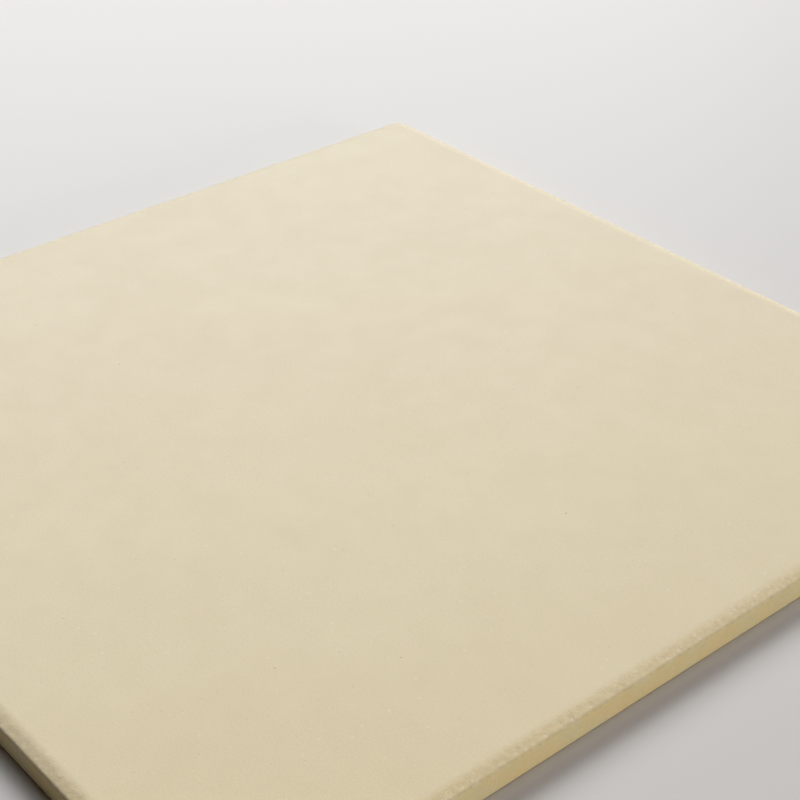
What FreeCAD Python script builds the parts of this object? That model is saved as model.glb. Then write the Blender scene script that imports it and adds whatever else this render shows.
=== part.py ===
import FreeCAD, Part
import os
import Sketcher

# A square pizza stone: one slab of cordierite, pressed and fired in a single piece.
# The baking face is flat and plain. A bevel runs round it, softened where it leaves
# the face and again, more tightly, where it turns down into the upright side.
# The underside is flat, with its edge just broken.
#
# Frame: millimetres, +Z up, sides along X and Y, origin in the middle of the underside.

# Driving sizes in millimetres
SIZES = {
    "slab_side": 380.0,           # length of each side
    "slab_thickness": 9.5,        # underside to baking face
    "face_corner_radius": 2.2,    # rounding of the flat face's four corners, seen from above
    "bevel_width": 4.3,           # bevel round the baking face, measured in from the side
    "bevel_depth": 1.2,           # the same bevel, measured down from the face
    "shoulder_radius": 12.0,      # soft blend between baking face and bevel
    "hip_radius": 1.1,            # tighter blend between bevel and side
    "foot_radius": 1.0,           # broken edge round the underside
}

SAME_PLACE = FreeCAD.Base.Precision.confusion()


def make_sheet(doc):
    """Put the driving sizes in a sheet, one cell with an alias for each."""
    sheet = doc.addObject("Spreadsheet::Sheet", "Sizes")
    for row, (alias, size) in enumerate(SIZES.items(), start=1):
        cell = f"A{row}"
        sheet.set(cell, str(size))
        sheet.setAlias(cell, alias)
    doc.recompute()


def draw_square(sketch, side):
    """Draw a square round the sketch's origin, with its side bound to an expression."""
    half = SIZES["slab_side"] / 2
    signs = [(-1, -1), (1, -1), (1, 1), (-1, 1)]
    corners = [FreeCAD.Vector(x * half, y * half, 0) for x, y in signs]
    front, right, back, left = range(len(corners))
    start, end = 1, 2
    neighbours = [(front, right), (right, back), (back, left), (left, front)]
    for line, following in neighbours:
        sketch.addGeometry(Part.LineSegment(corners[line], corners[following]), False)
    for line, following in neighbours:
        sketch.addConstraint(Sketcher.Constraint("Coincident", line, end, following, start))
    for line in (front, back):
        sketch.addConstraint(Sketcher.Constraint("Horizontal", line))
    for line in (right, left):
        sketch.addConstraint(Sketcher.Constraint("Vertical", line))
    middle = (-1, 1)
    sketch.addConstraint(Sketcher.Constraint("Symmetric", front, start, back, start, *middle))
    sketch.addConstraint(Sketcher.Constraint("Equal", front, right))
    length = sketch.addConstraint(Sketcher.Constraint("Distance", front, SIZES["slab_side"]))
    sketch.renameConstraint(length, "side")
    sketch.setExpression("Constraints.side", side)


def upright(edge):
    """Whether an edge runs straight up."""
    run = edge.Vertexes[-1].Point - edge.Vertexes[0].Point
    return run.cross(FreeCAD.Vector(0, 0, 1)).Length < SAME_PLACE


def level_at(height):
    """A test for edges that lie flat at this height."""
    return lambda edge: all(abs(vertex.Z - height) < SAME_PLACE for vertex in edge.Vertexes)


def dress(body, kind, name, wanted, **sizes):
    """Fillet or chamfer the wanted edges of the body so far, its sizes bound to expressions."""
    base = body.Tip
    edges = [f"Edge{i}" for i, edge in enumerate(base.Shape.Edges, start=1) if wanted(edge)]
    feature = body.newObject(f"PartDesign::{kind}", name)
    feature.Base = (base, edges)
    if kind == "Chamfer":
        feature.ChamferType = "Two distances"
    for size, expression in sizes.items():
        feature.setExpression(size, expression)
    body.Document.recompute()


def make_slab(doc):
    """The slab: a square blank with rounded corners, then its edge profile from the top down."""
    body = doc.addObject("PartDesign::Body", "StoneSlab")
    body.Label = "stone_slab"

    plan = body.newObject("Sketcher::SketchObject", "Plan")
    ground = next(plane for plane in body.Origin.OriginFeatures if plane.Role == "XY_Plane")
    plan.AttachmentSupport = [(ground, "")]
    plan.MapMode = "FlatFace"
    draw_square(plan, "Sizes.slab_side")

    blank = body.newObject("PartDesign::Pad", "Blank")
    blank.Profile = plan
    blank.setExpression("Length", "Sizes.slab_thickness")
    doc.recompute()
    dress(body, "Fillet", "Corners", upright, Radius="Sizes.face_corner_radius + Sizes.bevel_width")

    face = SIZES["slab_thickness"]
    hip = face - SIZES["bevel_depth"]
    dress(body, "Chamfer", "Bevel", level_at(face), Size="Sizes.bevel_depth", Size2="Sizes.bevel_width")
    dress(body, "Fillet", "Shoulder", level_at(face), Radius="Sizes.shoulder_radius")
    dress(body, "Fillet", "Hip", level_at(hip), Radius="Sizes.hip_radius")
    dress(body, "Fillet", "Foot", level_at(0), Radius="Sizes.foot_radius")
    body.Placement = FreeCAD.Placement()
    return body


def check(doc, parts):
    """Stop if any feature failed, or a part isn't one sound solid."""
    for feature in doc.Objects:
        if {"Invalid", "Error"} & set(feature.State):
            raise RuntimeError(f"{feature.Label} failed: {feature.State}")
    for part in parts:
        shape = part.Shape
        if shape.isNull() or not shape.isValid() or len(shape.Solids) != 1:
            raise RuntimeError(f"{part.Label} isn't one sound solid")


doc = FreeCAD.newDocument("pizza_stone")
make_sheet(doc)
parts = [make_slab(doc)]
check(doc, parts)
os.makedirs("parts", exist_ok=True)
for part in parts:
    part.Shape.exportStep(f"parts/{part.Label}.step")
    box = part.Shape.optimalBoundingBox()
    print(f"{part.Label}: {box.XLength:.2f} x {box.YLength:.2f} x {box.ZLength:.2f} mm")
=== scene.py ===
import math
import random
from collections import namedtuple

import bpy
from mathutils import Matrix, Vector, noise
from mathutils.geometry import delaunay_2d_cdt


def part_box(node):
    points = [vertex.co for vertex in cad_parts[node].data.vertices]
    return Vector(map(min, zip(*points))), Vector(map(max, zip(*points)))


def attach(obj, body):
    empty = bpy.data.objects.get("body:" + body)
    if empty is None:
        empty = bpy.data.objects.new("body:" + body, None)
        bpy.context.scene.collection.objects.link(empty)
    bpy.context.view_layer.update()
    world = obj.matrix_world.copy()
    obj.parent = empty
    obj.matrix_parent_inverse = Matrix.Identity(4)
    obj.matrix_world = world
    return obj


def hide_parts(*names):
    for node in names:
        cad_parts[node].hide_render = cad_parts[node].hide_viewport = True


# A square pizza stone on a plain pale floor: one slab of cream fired cordierite, flat on top,
# with a soft bevel round the baking face. The stone's sizes are in millimetres, and those of the
# stage, the lamps and the scene itself are in metres.

Row = namedtuple("Row", "inset height tilt")
Masks = namedtuple("Masks", "bevel hip side underside")
Pattern = namedtuple("Pattern", "size detail low high")
Specks = namedtuple("Specks", "cell radius")
Finish = namedtuple("Finish", "name shine dust")
Lamp = namedtuple("Lamp", "name turn elevation size colour level reflected")

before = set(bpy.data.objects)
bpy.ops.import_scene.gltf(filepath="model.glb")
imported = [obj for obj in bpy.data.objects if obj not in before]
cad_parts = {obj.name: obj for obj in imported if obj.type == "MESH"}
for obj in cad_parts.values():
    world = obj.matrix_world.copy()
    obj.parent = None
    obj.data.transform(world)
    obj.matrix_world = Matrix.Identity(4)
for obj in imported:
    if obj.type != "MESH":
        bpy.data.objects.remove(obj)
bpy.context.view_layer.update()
slab_low, slab_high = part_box("stone_slab")

MM = 0.001
SIDE = (slab_high.x - slab_low.x) / MM
THICKNESS = (slab_high.z - slab_low.z) / MM

# Edge profile
CORNER_RADIUS = 6.5       # the slab's corners, seen from above, at the upright side
BEVEL_WIDTH = 4.3         # in from the side
BEVEL_DEPTH = 1.2         # down from the baking face
SHOULDER_RADIUS = 12.0    # soft blend between baking face and bevel
HIP_RADIUS = 1.1          # tighter blend between bevel and side
FOOT_RADIUS = 1.0         # broken edge round the underside

# Tilts of the surface from level
SLOPE = math.atan2(BEVEL_DEPTH, BEVEL_WIDTH)
UPRIGHT = math.pi / 2
DOWN = math.pi
HIP_MIDDLE = (SLOPE + UPRIGHT) / 2

# Ways that a flat face can look
FACING_UP = 1
FACING_DOWN = -1

# Mesh steps
QUARTERS = 4              # each is one straight side and the corner after it
STATION_STEP = 0.65       # along the straight sides
CORNER_STEPS = 14
SUPPORT = 0.3             # flat margin that keeps the faces' shading flat
SHOULDER_STEPS = 7
BEVEL_STEPS = 3
HIP_STEPS = 6
SIDE_STEPS = 6
FOOT_STEPS = 5

# Unevenness of the pressed and fired surface, always inwards
LUMP_SIZE = 2.3           # clumps of grains on the bevel and the hip
LUMP_DEPTH = 0.065
SIDE_LUMP_SHARE = 0.25    # of that depth on the upright side
WAVE_SIZE = 7.0           # waviness of the hip line
WAVE_DEPTH = 0.09

# Pinholes in the flat faces
PIT_COUNT = 90
PIT_RADII = (0.16, 0.36)
PIT_DEPTH_SHARE = 0.45    # of the pit's radius
PIT_RING_SHARES = ((0.55, 0.8), (1.0, 0.0), (1.4, 0.0))    # of the pit's radius and of its depth
PIT_SIDES = 10
PIT_SPACING = 2.0
PIT_CLEAR_SHARE = 3.0     # of the pit's radius, kept free of loose points

# Loose points inside a flat face
FACE_POINT_STEP = 9.0
FACE_POINT_SHIFT_SHARE = 0.3    # of that step, at most
SAME_PLACE = 1e-6

# Layout of the texture map, as shares of its width
FACE_SHARE = 0.72         # the baking face, upper left
UNDER_SHARE = 0.25        # the underside, upper right
STRIP_SHARE = 0.06        # height of each of the four strips of the edge, along the bottom
MAP_GAP = 0.005

# Colours of the stone
CREAM_WARM = (0.643, 0.530, 0.303)
CREAM_PALE = (0.653, 0.542, 0.315)
# the bevel's warmer tint is partly the stone's own tone and partly painted light, standing in for the
# warmer light that falls on the bevels
BEVEL_TONE_AND_LIGHT = (1.025, 0.99, 0.905)
SIDE_TINT = (1.0, 1.017, 1.02)
SIDE_OCHRE = (1.03, 0.975, 0.88)
UNDER_TINT = (1.0, 0.97, 0.93)
PALE_GRAIN = (0.86, 0.81, 0.70)
DARK_GRAIN = (0.40, 0.33, 0.22)

# Noise patterns of the stone: size, octaves, and the values of the noise at none and at full
MOTTLE = Pattern(70.0, 3.0, 0.35, 0.65)
CLOUDS = Pattern(9.0, 4.0, 0.3, 0.7)
OCHRE = Pattern(11.0, 2.0, 0.4, 0.65)     # warmer patches along the side
CLUMPS = Pattern(2.2, 2.0, 0.35, 0.65)    # paler and darker clumps on the bevel and the hip
GRAIN = Pattern(0.8, 2.0, 0.3, 0.7)
RUBBED = Pattern(6.0, 3.0, 0.45, 0.7)     # paler stretches of the hip
POLISH = Pattern(14.0, 3.0, 0.3, 0.7)     # patches of smoother and rougher surface

# What those patterns change
CLOUD_BRIGHTNESS = (0.992, 1.008)
CLUMP_BRIGHTNESS = (0.95, 1.05)
GRAIN_BRIGHTNESS = (0.975, 1.025)
RUBBED_SHARE = 0.18
ROUGHNESS = (0.54, 0.57)

# Specks of dark and pale grain; a pair of shares is for the flat faces, and for the bevel and the hip
DARK_SPECKS = Specks(3.2, 0.42)
DARK_CELLS_SHARE = 0.35
DARK_COLOUR_SHARES = (0.2, 0.4)
DARK_DEPTH_SHARE = 0.5    # of the bump's height
PALE_SPECKS = Specks(1.9, 0.75)
PALE_CELLS_SHARES = (0.02, 0.4)
PALE_COLOUR_SHARES = (0.2, 0.32)
SPECK_CORE_SHARE = 0.3    # of a speck's radius, at full strength

# Fine bumps of the surface
BUMP_HEIGHT = 0.07
BUMP_SHARES = (0.4, 1.0)    # on the flat faces, and on the bevel and the hip

# Finishes: material, shine, and the pale bloom of the dry, porous stone
FINISHES = (
    Finish("fired_face", 0.25, 0.50),    # baking face and bevel
    Finish("fired_side", 0.10, 0.0),     # side and underside
)
FACE_FINISH, SIDE_FINISH = range(len(FINISHES))
DUST_TINT = (0.67, 0.78, 1.0)
DUST_SPREAD = 0.6

# Camera, found from the slab's edge lines in the photograph
CAMERA_AT = Vector((464.52, -348.77, 377.83)) * MM
CAMERA_AZIMUTH = math.radians(49.203)
CAMERA_PITCH = math.radians(32.515)
CAMERA_LENS = 79.663
CAMERA_SHIFT_X = -0.0471

# Stage
FLOOR_REACH = 12.0        # from the middle to each side
FLOOR_FADE = (0.7, 2.2)   # how far out the floor turns into the backdrop
FLOOR_COLOUR = (0.55, 0.536, 0.531)
FLOOR_ROUGHNESS = 0.5
FLOOR_SHINE = 0.22
BACKDROP = (0.80, 0.80, 0.80)
AMBIENT = (1.0, 0.6, 0.3)    # faint warm light from all round
AMBIENT_STRENGTH = 0.02

# Lamps: name, turn (degrees clockwise from straight behind the slab, as the camera sees it),
# elevation (degrees), size, colour, share of plain light on a level face, and whether the lamp
# shows in reflections
LAMPS = (
    Lamp("back_window", -11, 31.5, (10.8, 5.25), (1.0, 1.015, 1.0), 0.685, True),
    Lamp("side_window", 60, 40, (9.0, 9.0), (1.0, 0.96, 0.97), 0.30, True),
    Lamp("low_fill", 120, 6, (4.8, 2.1), (1.04, 1.02, 0.96), 0.049, False),
)
LAMP_DISTANCE = 12.0


def arc(inset, height, radius, start, end, steps):
    """Rows on an arc about a centre, from one tilt of its normal to another."""
    tilts = [start + (end - start) * step / steps for step in range(steps + 1)]
    return [Row(inset - radius * math.sin(t), height + radius * math.cos(t), t) for t in tilts]


def between(first, last, steps):
    """Rows on the straight between two rows, without its ends."""
    def part(a, b, step):
        return a + (b - a) * step / steps
    return [Row(*(part(a, b, step) for a, b in zip(first, last))) for step in range(1, steps)]


def edge_rows():
    """The edge profile as rows, from the baking face round to the underside."""
    shoulder_in = BEVEL_WIDTH + SHOULDER_RADIUS * math.tan(SLOPE / 2)
    hip_height = THICKNESS - BEVEL_DEPTH - HIP_RADIUS * math.tan((UPRIGHT - SLOPE) / 2)
    shoulder = arc(shoulder_in, THICKNESS - SHOULDER_RADIUS, SHOULDER_RADIUS, 0, SLOPE, SHOULDER_STEPS)
    hip = arc(HIP_RADIUS, hip_height, HIP_RADIUS, SLOPE, UPRIGHT, HIP_STEPS)
    foot = arc(FOOT_RADIUS, FOOT_RADIUS, FOOT_RADIUS, UPRIGHT, DOWN, FOOT_STEPS)
    bevel = between(shoulder[-1], hip[0], BEVEL_STEPS)
    side = between(hip[-1], foot[0], SIDE_STEPS)
    face_margin = Row(shoulder_in + SUPPORT, THICKNESS, 0)
    under_margin = Row(FOOT_RADIUS + SUPPORT, 0, DOWN)
    return [face_margin] + shoulder + bevel + hip + side + foot + [under_margin]


def smooth(value, low, high):
    """0 below low, 1 above high, and an even curve between."""
    part = min(1.0, max(0.0, (value - low) / (high - low)))
    return part * part * (3 - 2 * part)


def masks_at(tilt):
    """How far each zone of the edge reaches where the surface tilts this much."""
    past_bevel = smooth(tilt, SLOPE, UPRIGHT)
    underside = smooth(tilt, UPRIGHT, DOWN)
    return Masks(
        bevel=smooth(tilt, 0, SLOPE) * (1 - past_bevel),
        hip=smooth(tilt, 0, HIP_MIDDLE) * (1 - smooth(tilt, HIP_MIDDLE, UPRIGHT)),
        side=past_bevel * (1 - underside),
        underside=underside,
    )


def stations():
    """Stops round the slab, in four quarters: each a point inside the rounded corners and a way out."""
    reach = SIDE / 2 - CORNER_RADIUS
    count = round(2 * reach / STATION_STEP)
    stops = []
    for quarter in range(QUARTERS):
        turn = 2 * math.pi * quarter / QUARTERS
        along = Vector((math.cos(turn), math.sin(turn)))
        out = Vector((along.y, -along.x))
        for step in range(count):
            stops.append((out * reach + along * reach * (2 * step / count - 1), out))
        for step in range(CORNER_STEPS):
            bend = math.pi / 2 * step / CORNER_STEPS
            stops.append(((out + along) * reach, out * math.cos(bend) + along * math.sin(bend)))
    return stops


def lump(point, size):
    """Noise from 0 to 1 with lumps of about this size."""
    return min(1.0, max(0.0, 0.5 + noise.noise(point / size)))


def worn_point(base, out, row):
    """A point of the edge, set in a little where the surface is uneven."""
    flat = base + out * (CORNER_RADIUS - row.inset)
    point = Vector((flat.x, flat.y, row.height))
    normal = Vector((out.x * math.sin(row.tilt), out.y * math.sin(row.tilt), math.cos(row.tilt)))
    masks = masks_at(row.tilt)
    clumps = max(masks.bevel, masks.hip, SIDE_LUMP_SHARE * masks.side)
    depth = LUMP_DEPTH * clumps * lump(point, LUMP_SIZE)
    depth += WAVE_DEPTH * masks.hip * lump(point, WAVE_SIZE)
    return point - normal * depth


def pits(draw):
    """Pinholes spread over a flat face, as centre and radius, most of them small."""
    reach = SIDE / 2 - CORNER_RADIUS - BEVEL_WIDTH
    found = []
    while len(found) < PIT_COUNT:
        centre = Vector((draw.uniform(-reach, reach), draw.uniform(-reach, reach)))
        radius = PIT_RADII[0] + (PIT_RADII[1] - PIT_RADII[0]) * draw.random() ** 2
        if all((centre - other).length > PIT_SPACING for other, _ in found):
            found.append((centre, radius))
    return found


def pit_points(centre, radius):
    """A pinhole's points as place and depth: its floor, wall, lip and a flat ring outside the lip."""
    points = [(centre, PIT_DEPTH_SHARE * radius)]
    for reach, depth in PIT_RING_SHARES:
        for side in range(PIT_SIDES):
            turn = 2 * math.pi * side / PIT_SIDES
            way = Vector((math.cos(turn), math.sin(turn)))
            points.append((centre + way * reach * radius, depth * PIT_DEPTH_SHARE * radius))
    return points


def loose_points(holes, draw):
    """Unevenly spread points of a flat face, clear of its pinholes, all at full height."""
    reach = SIDE / 2 - CORNER_RADIUS - BEVEL_WIDTH
    count = round(2 * reach / FACE_POINT_STEP)
    step = 2 * reach / count
    most = FACE_POINT_SHIFT_SHARE
    points = []
    for column in range(count + 1):
        for row in range(count + 1):
            shift = Vector((draw.uniform(-most, most), draw.uniform(-most, most))) * step
            place = Vector((column * step - reach, row * step - reach)) + shift
            inside = max(abs(place.x), abs(place.y)) < reach
            clear = all((place - centre).length > PIT_CLEAR_SHARE * radius for centre, radius in holes)
            if inside and clear:
                points.append((place, 0.0))
    return points


def flat_face(ring, height, way, seed):
    """Points and triangles that close a ring of the edge with a flat, pinholed face."""
    draw = random.Random(seed)
    holes = pits(draw)
    points = [(place.xy, 0.0) for place in ring]
    for centre, radius in holes:
        points += pit_points(centre, radius)
    points += loose_points(holes, draw)
    border = [(i, (i + 1) % len(ring)) for i in range(len(ring))]
    inside_only = 1
    made = delaunay_2d_cdt([place for place, _ in points], border, [], inside_only, SAME_PLACE)
    corners, triangles, sources = made[0], made[2], [source[0] for source in made[3]]
    places = [Vector((c.x, c.y, height - way * points[s][1])) for c, s in zip(corners, sources)]
    return places, triangles, sources


def strip_map(rows, stops):
    """Where the edge's faces lie on the texture map: a strip for each quarter of the way round."""
    along = [0.0]
    for row, following in zip(rows, rows[1:]):
        along.append(along[-1] + math.hypot(row.inset - following.inset, row.height - following.height))
    down = [STRIP_SHARE * length / along[-1] for length in along]
    per_strip = len(stops) // QUARTERS

    def corner(strip, row, part):
        left = MAP_GAP + (1 - 2 * MAP_GAP) * part / per_strip
        return left, (strip + 1) * (STRIP_SHARE + MAP_GAP) - down[row]

    def face(row, stop):
        strip, part = divmod(stop, per_strip)
        places = ((row, part), (row + 1, part), (row + 1, part + 1), (row, part + 1))
        return [corner(strip, *place) for place in places]
    return face


def face_map(place, way):
    """Where a point of a flat face lies on the texture map."""
    if way == FACING_UP:
        left, size = MAP_GAP, FACE_SHARE
    else:
        left, size = 1 - MAP_GAP - UNDER_SHARE, UNDER_SHARE
    return left + size * (0.5 + way * place.x / SIDE), 1 - MAP_GAP - size * (0.5 - place.y / SIDE)


class Skin:
    """The slab's surface: points with their zones, and faces with their finish and place on the map."""

    def __init__(self):
        self.points = []
        self.masks = []
        self.faces = []
        self.finishes = []
        self.spots = []

    def add_point(self, place, masks):
        """Add a point and say where it is in the list."""
        self.points.append(place)
        self.masks.append(masks)
        return len(self.points) - 1

    def add_face(self, corners, finish, spots):
        self.faces.append(corners)
        self.finishes.append(finish)
        self.spots += spots


def add_edge(skin, rows, stops):
    """The edge band, from the baking face round to the underside."""
    for row in rows:
        for base, out in stops:
            skin.add_point(worn_point(base, out, row), masks_at(row.tilt))
    strips = strip_map(rows, stops)
    count = len(stops)
    for r in range(len(rows) - 1):
        finish = SIDE_FINISH if rows[r].tilt >= HIP_MIDDLE else FACE_FINISH
        for i in range(count):
            j = (i + 1) % count
            corners = (r * count + i, (r + 1) * count + i, (r + 1) * count + j, r * count + j)
            skin.add_face(corners, finish, strips(r, i))


def close_ring(skin, start, count, height, way):
    """A flat face inside the ring of the edge's points that begins at start."""
    ring = skin.points[start:start + count]
    places, triangles, sources = flat_face(ring, height, way, seed=start)
    index = []
    for place, source in zip(places, sources):
        if source < count:
            index.append(start + source)
        else:
            index.append(skin.add_point(place, skin.masks[start]))
    finish = FACE_FINISH if way == FACING_UP else SIDE_FINISH
    for triangle in triangles:
        corners = [index[corner] for corner in triangle][::way]
        skin.add_face(corners, finish, [face_map(skin.points[corner], way) for corner in corners])


def make_slab():
    """The slab: the edge band and the two flat faces that close it."""
    rows, stops = edge_rows(), stations()
    count = len(stops)
    skin = Skin()
    add_edge(skin, rows, stops)
    close_ring(skin, 0, count, THICKNESS, FACING_UP)
    close_ring(skin, (len(rows) - 1) * count, count, 0.0, FACING_DOWN)

    mesh = bpy.data.meshes.new("fired_slab")
    mesh.from_pydata([point * MM for point in skin.points], [], skin.faces)
    mesh.shade_smooth()
    mesh.polygons.foreach_set("material_index", skin.finishes)
    for name in Masks._fields:
        layer = mesh.attributes.new(name, "FLOAT", "POINT")
        layer.data.foreach_set("value", [getattr(masks, name) for masks in skin.masks])
    texture_map = mesh.uv_layers.new(name="OFBake")
    texture_map.uv.foreach_set("vector", [number for spot in skin.spots for number in spot])
    for finish in FINISHES:
        mesh.materials.append(stone_material(*finish))
    slab = bpy.data.objects.new("fired_slab", mesh)
    bpy.context.scene.collection.objects.link(slab)
    return slab


def identified(sockets, name):
    """A node's input or output by its identifier, because plain names repeat on some nodes."""
    return next(socket for socket in sockets if socket.identifier == name)


class Shading:
    """The nodes of a material or a world, with short ways to add the kinds used here."""

    def __init__(self, owner):
        owner.use_nodes = True
        self.tree = owner.node_tree

    def node(self, kind, inputs, **settings):
        """Add a node; each input takes a plain value, or another node's output."""
        made = self.tree.nodes.new(kind)
        for name, value in settings.items():
            setattr(made, name, value)
        for name, value in inputs.items():
            self.put(made, name, value)
        return made

    def put(self, node, name, value):
        """Set or link an input."""
        socket = identified(node.inputs, name)
        if isinstance(value, bpy.types.NodeSocket):
            self.tree.links.new(value, socket)
        else:
            socket.default_value = value

    def place(self):
        return self.node("ShaderNodeTexCoord", {}).outputs["Object"]

    def mask(self, name):
        return self.node("ShaderNodeAttribute", {}, attribute_name=name).outputs["Fac"]

    def noise(self, size, detail):
        inputs = {"Vector": self.place(), "Scale": 1 / (size * MM), "Detail": detail}
        return self.node("ShaderNodeTexNoise", inputs).outputs["Fac"]

    def ramp(self, value, low, high, start=0.0, end=1.0):
        """Even curve from start, where the value is low, to end, where it is high."""
        inputs = {"Value": value, "From Min": low, "From Max": high, "To Min": start, "To Max": end}
        made = self.node("ShaderNodeMapRange", inputs, interpolation_type="SMOOTHSTEP")
        return made.outputs["Result"]

    def pattern(self, kind, start=0.0, end=1.0):
        """A noise pattern, from start where there is none of it to end where it is full."""
        return self.ramp(self.noise(kind.size, kind.detail), kind.low, kind.high, start, end)

    def maths(self, operation, first, second):
        inputs = {"Value": first, "Value_001": second}
        return self.node("ShaderNodeMath", inputs, operation=operation).outputs["Value"]

    def mix(self, share, first, second):
        """Number between two numbers."""
        inputs = {"Factor_Float": share, "A_Float": first, "B_Float": second}
        made = self.node("ShaderNodeMix", inputs, data_type="FLOAT")
        return identified(made.outputs, "Result_Float")

    def blend(self, share, first, second, how="MIX"):
        """Colour between two colours, or the first multiplied by a share of the second."""
        inputs = {"Factor_Float": share, "A_Color": first, "B_Color": second}
        made = self.node("ShaderNodeMix", inputs, data_type="RGBA", blend_type=how)
        return identified(made.outputs, "Result_Color")

    def brighten(self, colour, value):
        return self.node("ShaderNodeHueSaturation", {"Color": colour, "Value": value}).outputs["Color"]

    def specks(self, kind, share):
        """Round specks in a share of the cells, 1 at their middles."""
        inputs = {"Vector": self.place(), "Scale": 1 / (kind.cell * MM)}
        cells = self.node("ShaderNodeTexVoronoi", inputs)
        reach = kind.radius / kind.cell
        near = self.ramp(cells.outputs["Distance"], SPECK_CORE_SHARE * reach, reach, 1.0, 0.0)
        chance = self.node("ShaderNodeSeparateColor", {"Color": cells.outputs["Color"]}).outputs["Red"]
        return self.maths("MULTIPLY", near, self.maths("LESS_THAN", chance, share))

    def seen(self):
        """1 for the rays that show the backdrop, and 0 for those that carry its light."""
        rays = self.node("ShaderNodeLightPath", {}).outputs
        reflected = self.maths("MAXIMUM", rays["Is Glossy Ray"], rays["Is Transmission Ray"])
        return self.maths("MAXIMUM", rays["Is Camera Ray"], reflected)


def opaque(colour):
    return (*colour, 1.0)


def stone_material(name, shine, dust):
    """Cream fired cordierite: cloudy, finely grained, warmer on the side and coarser on the edge."""
    material = bpy.data.materials.new(name)
    s = Shading(material)
    bevel, hip, side, underside = (s.mask(zone) for zone in Masks._fields)
    edge = s.maths("MAXIMUM", bevel, hip)

    def on_edge(shares):
        """The first share on the flat faces, and the second on the bevel and the hip."""
        return s.ramp(edge, 0.0, 1.0, *shares)

    colour = s.blend(s.pattern(MOTTLE), opaque(CREAM_WARM), opaque(CREAM_PALE))
    # partly painted light: the bevel is tinted warmer for the light it catches, on top of the stone's
    # own tone
    colour = s.blend(bevel, colour, opaque(BEVEL_TONE_AND_LIGHT), "MULTIPLY")
    colour = s.blend(side, colour, opaque(SIDE_TINT), "MULTIPLY")
    ochre = s.maths("MULTIPLY", side, s.pattern(OCHRE))
    colour = s.blend(ochre, colour, opaque(SIDE_OCHRE), "MULTIPLY")
    colour = s.blend(underside, colour, opaque(UNDER_TINT), "MULTIPLY")
    colour = s.brighten(colour, s.pattern(CLOUDS, *CLOUD_BRIGHTNESS))
    colour = s.brighten(colour, s.pattern(GRAIN, *GRAIN_BRIGHTNESS))
    clumps = s.pattern(CLUMPS, *CLUMP_BRIGHTNESS)
    colour = s.brighten(colour, s.mix(edge, 1.0, clumps))

    dark = s.specks(DARK_SPECKS, DARK_CELLS_SHARE)
    colour = s.blend(s.maths("MULTIPLY", dark, on_edge(DARK_COLOUR_SHARES)), colour, opaque(DARK_GRAIN))
    pale = s.specks(PALE_SPECKS, on_edge(PALE_CELLS_SHARES))
    colour = s.blend(s.maths("MULTIPLY", pale, on_edge(PALE_COLOUR_SHARES)), colour, opaque(PALE_GRAIN))
    rubbed = s.maths("MULTIPLY", hip, s.pattern(RUBBED))
    colour = s.blend(s.maths("MULTIPLY", rubbed, RUBBED_SHARE), colour, opaque(PALE_GRAIN))

    height = s.maths("MULTIPLY", s.noise(GRAIN.size, GRAIN.detail), on_edge(BUMP_SHARES))
    height = s.maths("SUBTRACT", height, s.maths("MULTIPLY", dark, DARK_DEPTH_SHARE))
    bump = s.node("ShaderNodeBump", {"Height": height, "Distance": BUMP_HEIGHT * MM})
    shader = s.tree.nodes["Principled BSDF"]
    s.put(shader, "Base Color", colour)
    s.put(shader, "Roughness", s.pattern(POLISH, *ROUGHNESS))
    s.put(shader, "Specular IOR Level", shine)
    s.put(shader, "Sheen Weight", dust)
    s.put(shader, "Sheen Tint", opaque(DUST_TINT))
    s.put(shader, "Sheen Roughness", DUST_SPREAD)
    s.put(shader, "Normal", bump.outputs["Normal"])
    return material


def floor_material():
    """Plain pale floor that turns into the backdrop far from the slab."""
    material = bpy.data.materials.new("floor")
    s = Shading(material)
    shader = s.tree.nodes["Principled BSDF"]
    s.put(shader, "Base Color", opaque(FLOOR_COLOUR))
    s.put(shader, "Roughness", FLOOR_ROUGHNESS)
    s.put(shader, "Specular IOR Level", FLOOR_SHINE)
    away = s.node("ShaderNodeVectorMath", {"Vector": s.place()}, operation="LENGTH").outputs["Value"]
    far = s.maths("MULTIPLY", s.ramp(away, *FLOOR_FADE), s.seen())
    backdrop = s.node("ShaderNodeEmission", {"Color": opaque(BACKDROP)})
    inputs = {"Fac": far, "Shader": shader.outputs["BSDF"], "Shader_001": backdrop.outputs["Emission"]}
    mixed = s.node("ShaderNodeMixShader", inputs)
    s.put(s.tree.nodes["Material Output"], "Surface", mixed.outputs["Shader"])
    return material


def make_floor():
    """The plain floor that the slab lies on."""
    corners = [(x * FLOOR_REACH, y * FLOOR_REACH, 0) for x, y in ((-1, -1), (1, -1), (1, 1), (-1, 1))]
    mesh = bpy.data.meshes.new("floor")
    mesh.from_pydata(corners, [], [(0, 1, 2, 3)])
    mesh.materials.append(floor_material())
    floor = bpy.data.objects.new("floor", mesh)
    bpy.context.scene.collection.objects.link(floor)


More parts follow.
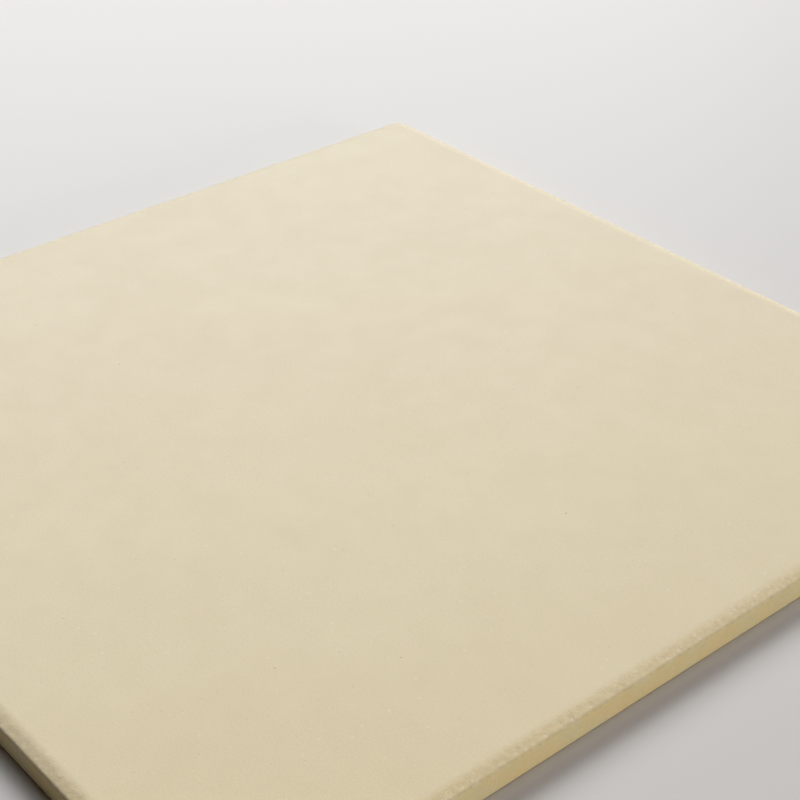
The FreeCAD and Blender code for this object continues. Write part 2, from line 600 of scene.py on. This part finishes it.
def make_lamp(kind):
    """A soft rectangular lamp aimed at the slab, giving its share of plain light on a level face."""
    lamp = bpy.data.lights.new(kind.name, "AREA")
    lamp.shape = "RECTANGLE"
    lamp.size, lamp.size_y = kind.size
    lamp.color = kind.colour
    heading = CAMERA_AZIMUTH + math.radians(90 - kind.turn)
    elevation = math.radians(kind.elevation)
    out, up = math.cos(elevation), math.sin(elevation)
    # A lamp of this power lights the level face so that plain white shines back at the lamp's level.
    lamp.energy = kind.level * math.pi ** 2 * LAMP_DISTANCE ** 2 / up
    way = Vector((math.cos(heading) * out, math.sin(heading) * out, up))
    holder = bpy.data.objects.new(kind.name, lamp)
    holder.location = way * LAMP_DISTANCE
    holder.rotation_euler = (-way).to_track_quat("-Z", "Y").to_euler()
    holder.visible_camera = False
    holder.visible_glossy = kind.reflected
    bpy.context.scene.collection.objects.link(holder)


def make_light():
    """The lamps, and the backdrop with very little light of its own."""
    for kind in LAMPS:
        make_lamp(kind)
    world = bpy.data.worlds.new("studio")
    s = Shading(world)
    ambient = s.tree.nodes["Background"]
    s.put(ambient, "Color", opaque(AMBIENT))
    s.put(ambient, "Strength", AMBIENT_STRENGTH)
    backdrop = s.node("ShaderNodeBackground", {"Color": opaque(BACKDROP)})
    inputs = {
        "Fac": s.seen(),
        "Shader": ambient.outputs["Background"],
        "Shader_001": backdrop.outputs["Background"],
    }
    mixed = s.node("ShaderNodeMixShader", inputs)
    s.put(s.tree.nodes["World Output"], "Surface", mixed.outputs["Shader"])
    bpy.context.scene.world = world


def make_camera():
    """The photograph's camera."""
    camera = bpy.data.cameras.new("camera")
    camera.lens = CAMERA_LENS
    camera.shift_x = CAMERA_SHIFT_X
    holder = bpy.data.objects.new("camera", camera)
    ahead = Vector((
        -math.sin(CAMERA_AZIMUTH) * math.cos(CAMERA_PITCH),
        math.cos(CAMERA_AZIMUTH) * math.cos(CAMERA_PITCH),
        -math.sin(CAMERA_PITCH),
    ))
    holder.location = CAMERA_AT
    holder.rotation_euler = ahead.to_track_quat("-Z", "Y").to_euler()
    bpy.context.scene.collection.objects.link(holder)
    bpy.context.scene.camera = holder


slab = make_slab()
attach(slab, "root")
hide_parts("stone_slab")
make_floor()
make_light()
make_camera()
bpy.context.scene.view_settings.view_transform = "Standard"
